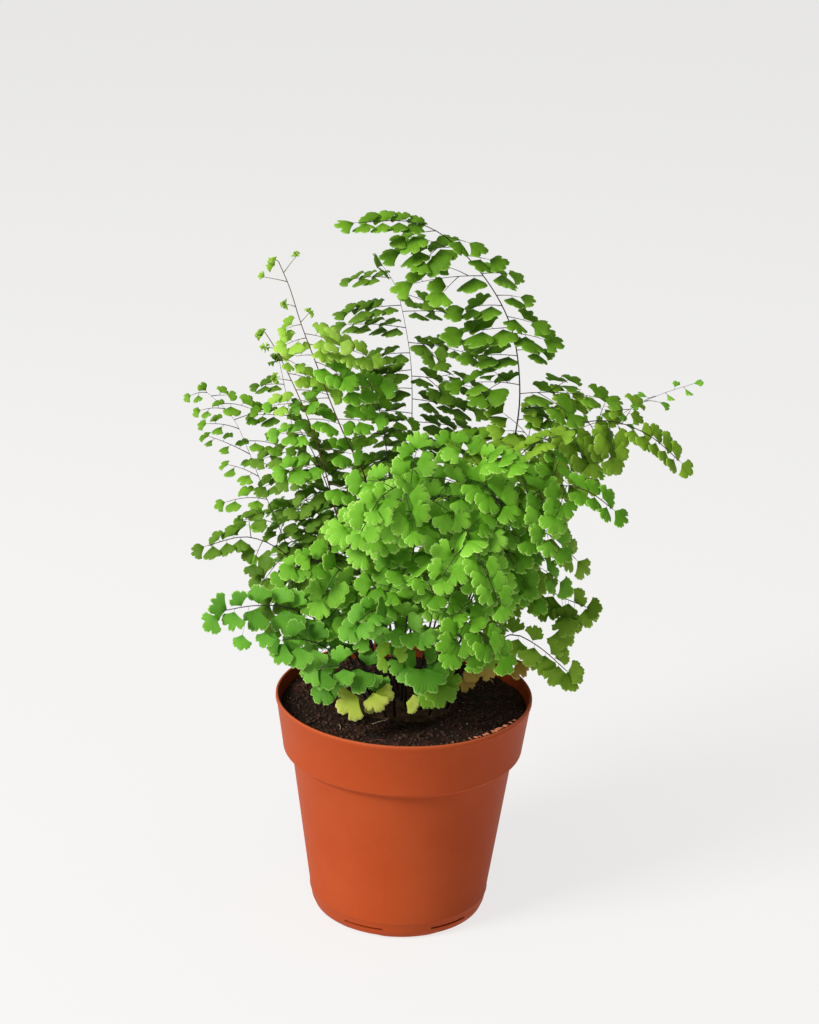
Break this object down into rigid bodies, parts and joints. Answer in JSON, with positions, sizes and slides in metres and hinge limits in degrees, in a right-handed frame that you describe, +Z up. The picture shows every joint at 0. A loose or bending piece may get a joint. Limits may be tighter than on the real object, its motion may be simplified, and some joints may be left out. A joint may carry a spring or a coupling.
{
  "type": "potted fern",
  "caption": "Maidenhair fern with arching fronds of small fan-shaped leaflets on dark wiry stems, growing in soil in a round collared terracotta-coloured plastic pot.",
  "frame": {"origin": "centre of the flat pad under the pot, on the surface it stands on", "axes": "+Z up along the pot's axis; the plant's full side faces -Y and its long side branch leans to +X"},
  "size_m": [0.233, 0.1749, 0.3353],
  "materials": {
    "terracotta_plastic": "satin moulded terracotta colour",
    "soil": "loose dark peat and fibre",
    "crown": "fibrous brown",
    "leaf_green": "thin mid-green leaf on dark wiry stems",
    "bright_green": "thin bright green leaf with pale margin",
    "shade_green": "thin dark green leaf",
    "young_green": "thin yellow-green young leaf",
    "yellow_green": "ageing yellow leaf",
    "tan_leaf": "dry tan leaf"
  },
  "bodies": {
    "root": {"nursery_pot": "terracotta_plastic", "potting_soil": "soil", "crown_rhizome": "crown", "front_crown_frond": "bright_green", "front_right_drape_frond": "bright_green", "front_right_crown_frond": "bright_green", "right_front_frond": "leaf_green", "centre_left_frond": "leaf_green", "front_centre_frond": "bright_green", "front_centre_low_frond": "bright_green", "front_right_low_frond": "bright_green", "tall_arching_frond": "leaf_green", "right_arching_frond": "leaf_green", "left_low_frond": "leaf_green", "left_middle_frond": "leaf_green", "left_skirt_frond": "leaf_green", "front_left_skirt_frond": "bright_green", "right_middle_frond": "leaf_green", "right_low_frond": "leaf_green", "right_skirt_frond": "leaf_green", "inner_right_frond": "leaf_green", "inner_left_frond": "leaf_green", "inner_back_frond": "leaf_green", "upright_back_frond": "shade_green", "young_tall_frond": "young_green", "young_leaning_frond": "young_green", "wiry_left_frond": "leaf_green", "airy_left_frond": "leaf_green", "airy_right_frond": "leaf_green", "back_left_frond": "shade_green", "back_right_frond": "shade_green", "back_centre_frond": "shade_green", "back_low_left_frond": "shade_green", "back_low_right_frond": "shade_green", "basal_centre_leaflets": "leaf_green", "basal_dark_leaflets": "leaf_green", "basal_pale_leaflets": "leaf_green", "basal_yellow_left_leaflets": "yellow_green", "basal_yellow_front_leaflets": "yellow_green", "basal_tan_leaflets": "tan_leaf"}
  },
  "joints": []
}
